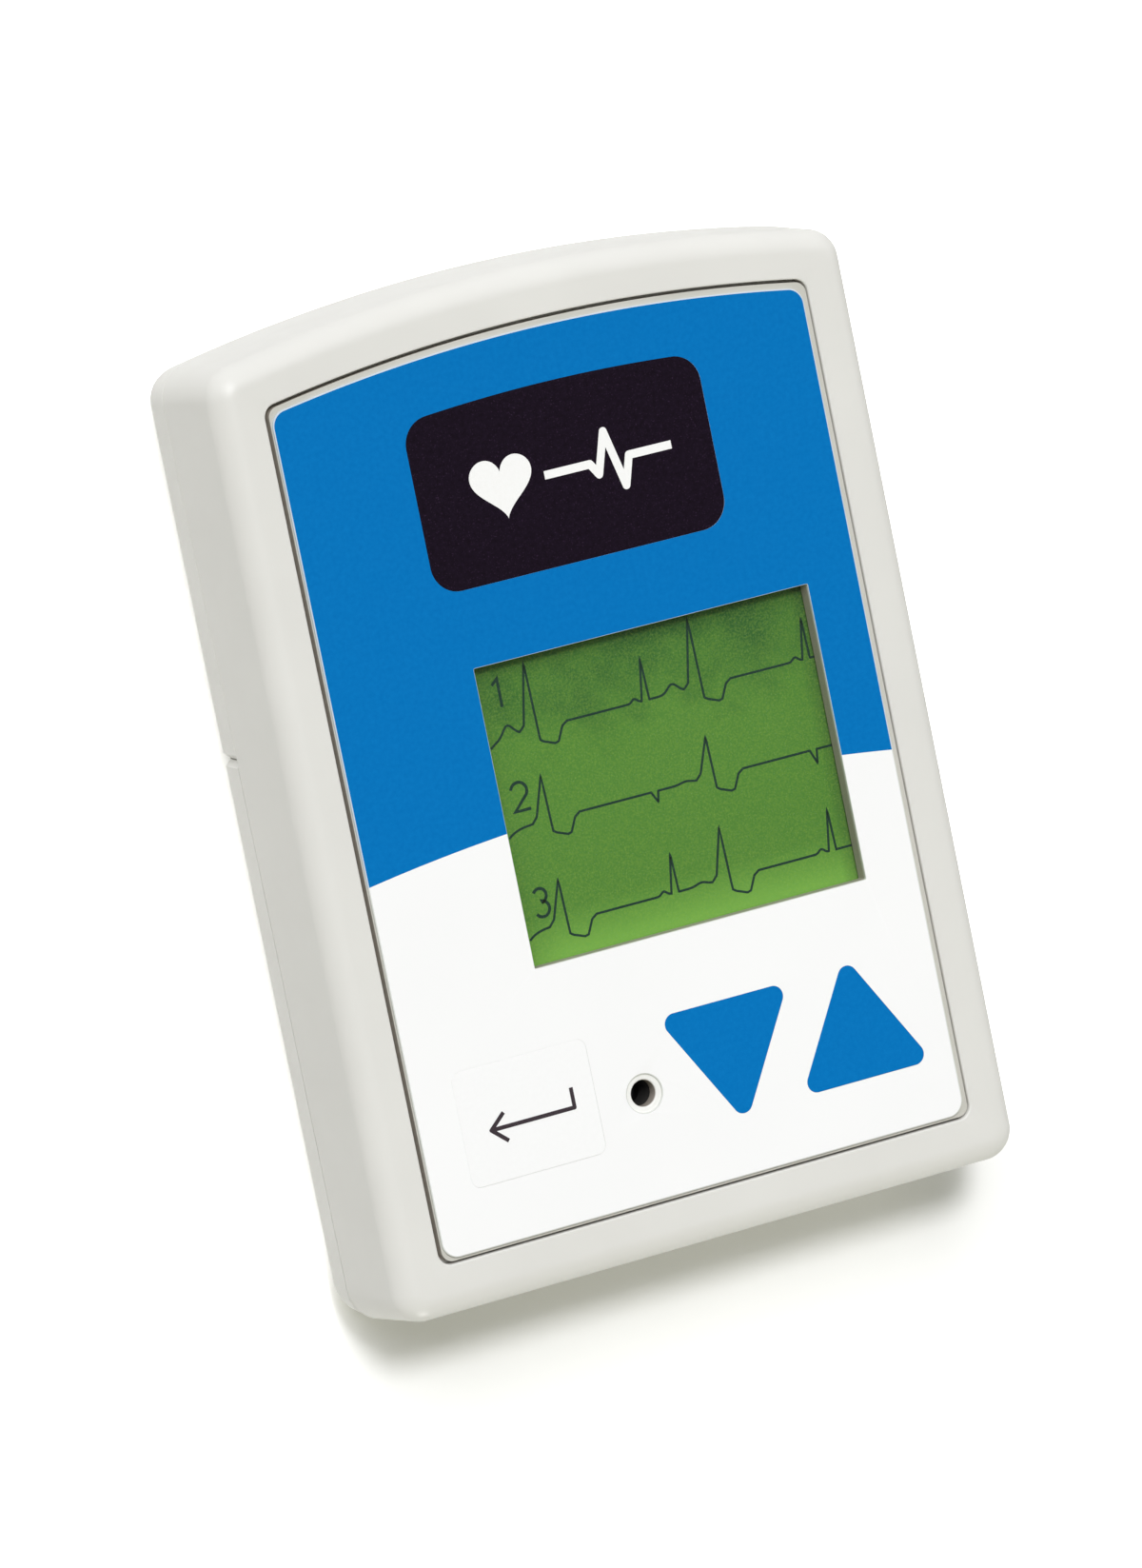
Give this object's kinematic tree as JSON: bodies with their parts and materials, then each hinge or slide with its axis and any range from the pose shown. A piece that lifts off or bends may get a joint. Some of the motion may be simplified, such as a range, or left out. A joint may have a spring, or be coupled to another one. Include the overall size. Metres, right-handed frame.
{
  "type": "hand-held ECG event recorder",
  "caption": "Hand-held heart-event recorder with an arched face, a recessed display window, a large event key, small keys, a round sound port and a sliding battery door.",
  "frame": {"origin": "middle of the back, on the surface that the device rests on", "axes": "+X to the right of the face, +Y up the device towards its arched end, +Z out of the face"},
  "size_m": [0.0718, 0.1014, 0.02],
  "materials": {
    "housing": "fine spark-eroded texture",
    "plate": "satin",
    "film_print": "satin printed film with a blue and a white field",
    "clear_window": "clear film",
    "dark_key": "satin print",
    "pale_key": "satin print",
    "blue_key": "satin print",
    "steel": "bright nickel-plated sheet and wire",
    "lcd": "green display glass",
    "light_guide": "clear milky plastic",
    "connector_rubber": "matt",
    "board": "solder mask",
    "chip": "moulded resin",
    "ferrite": "sintered",
    "can": "drawn can",
    "ceramic": "fired ceramic",
    "gasket": "soft matt",
    "socket": "moulded",
    "cell": "plain dark sleeve"
  },
  "bodies": {
    "housing": {"front_shell": "housing", "rear_shell": "housing", "front_plate": "plate", "graphic_overlay": "film_print", "display_window": "clear_window", "snap_domes": "steel", "lcd_glass": "lcd", "lcd_frame": "plate", "lcd_backlight": "light_guide", "lcd_connector": "connector_rubber", "main_board": "board", "processor": "chip", "ecg_amplifier": "chip", "memory_chip": "chip", "clock_crystal": "steel", "power_inductor": "ferrite", "tank_capacitor": "can", "ceramic_capacitors": "ceramic", "sounder": "chip", "sounder_gasket": "gasket", "lead_jack": "socket", "battery_left": "cell", "battery_right": "cell", "battery_springs": "steel", "battery_contacts": "steel", "board_screws": "steel", "case_screws": "steel"},
    "event_key": {"event_key": "dark_key"},
    "enter_key": {"enter_key": "pale_key"},
    "down_key": {"down_key": "blue_key"},
    "up_key": {"up_key": "blue_key"},
    "battery_door": {"battery_door": "housing"}
  },
  "joints": [
    {"name": "event_press", "type": "slide", "parent": "housing", "child": "event_key", "axis": [0, 0, -1], "range_m": [0, 0.00035], "stiffness_N_per_m": 3000},
    {"name": "enter_press", "type": "slide", "parent": "housing", "child": "enter_key", "axis": [0, 0, -1], "range_m": [0, 0.00035], "stiffness_N_per_m": 3000},
    {"name": "down_press", "type": "slide", "parent": "housing", "child": "down_key", "axis": [0, 0, -1], "range_m": [0, 0.00035], "stiffness_N_per_m": 3000},
    {"name": "up_press", "type": "slide", "parent": "housing", "child": "up_key", "axis": [0, 0, -1], "range_m": [0, 0.00035], "stiffness_N_per_m": 3000},
    {"name": "door_slide", "type": "slide", "parent": "housing", "child": "battery_door", "axis": [0, -1, 0], "range_m": [0, 0.058]}
  ]
}
